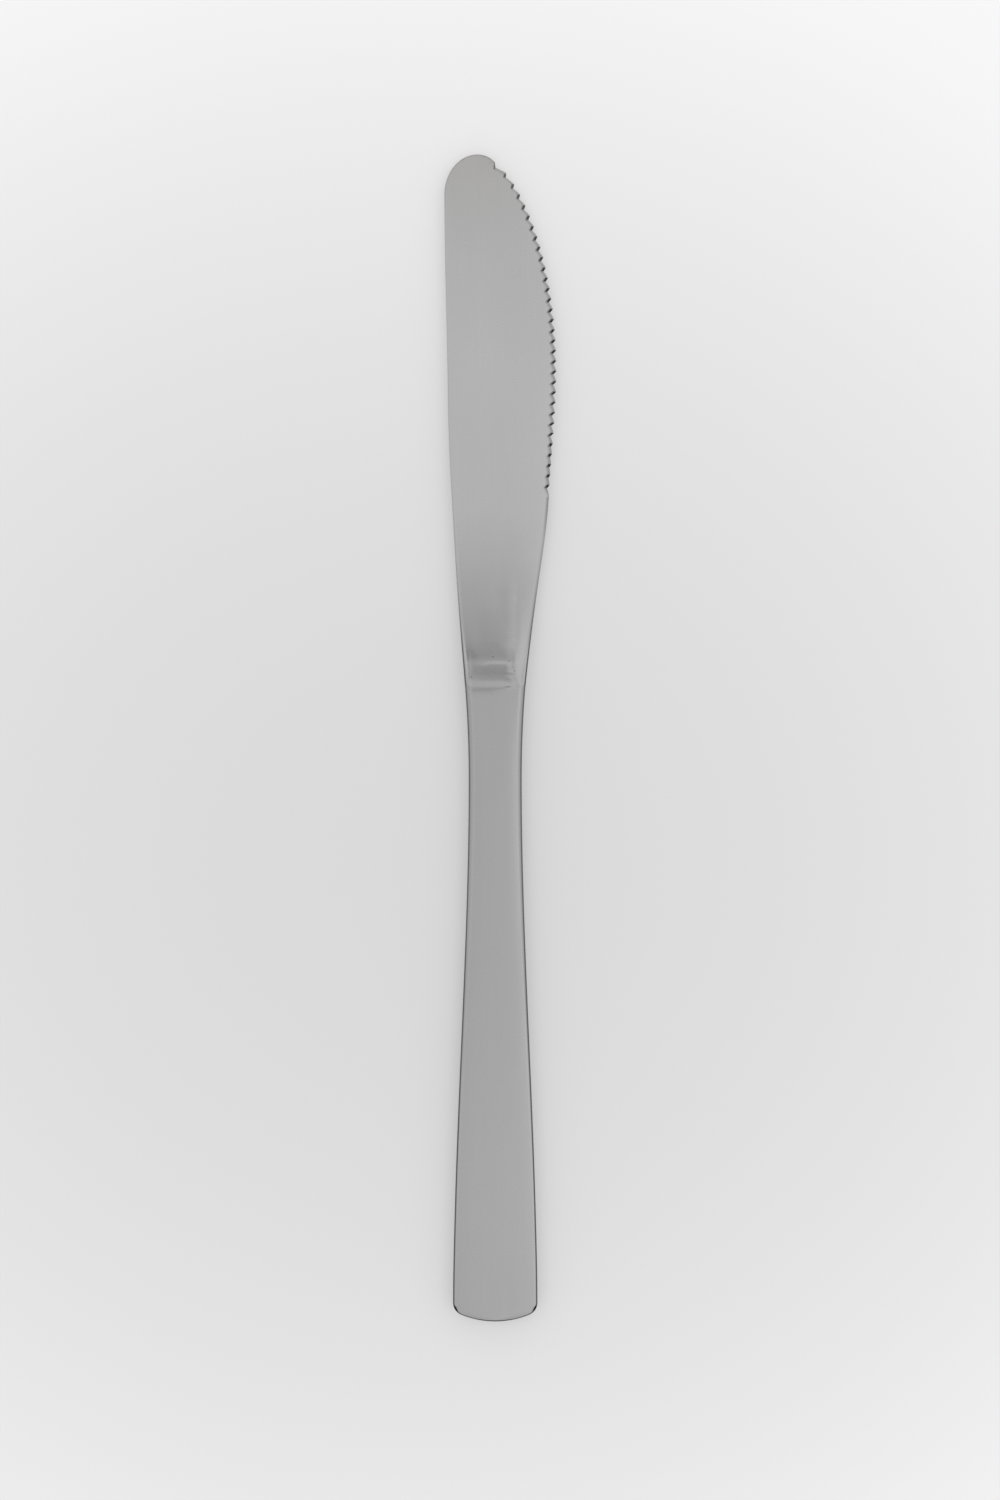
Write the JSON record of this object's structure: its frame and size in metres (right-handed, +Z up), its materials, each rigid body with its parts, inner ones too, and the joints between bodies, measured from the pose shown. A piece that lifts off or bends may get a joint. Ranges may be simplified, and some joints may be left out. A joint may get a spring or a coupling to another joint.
{
  "type": "table knife",
  "caption": "Satin steel table knife with a round nose, a serrated edge, a stepped bolster and a flat hollow handle that widens to the butt.",
  "frame": {"origin": "middle of the flat back face of the handle, on which the knife lies", "axes": "+Y along the knife toward the tip, +X across it toward the cutting edge, +Z up out of the front face"},
  "size_m": [0.0211, 0.22, 0.0054],
  "materials": {
    "blade_steel": "satin",
    "handle_steel": "satin",
    "handle_cement": "matte"
  },
  "bodies": {
    "root": {"blade": "blade_steel", "handle_front_shell": "handle_steel", "handle_back_shell": "handle_steel", "handle_core": "handle_cement"}
  },
  "joints": []
}
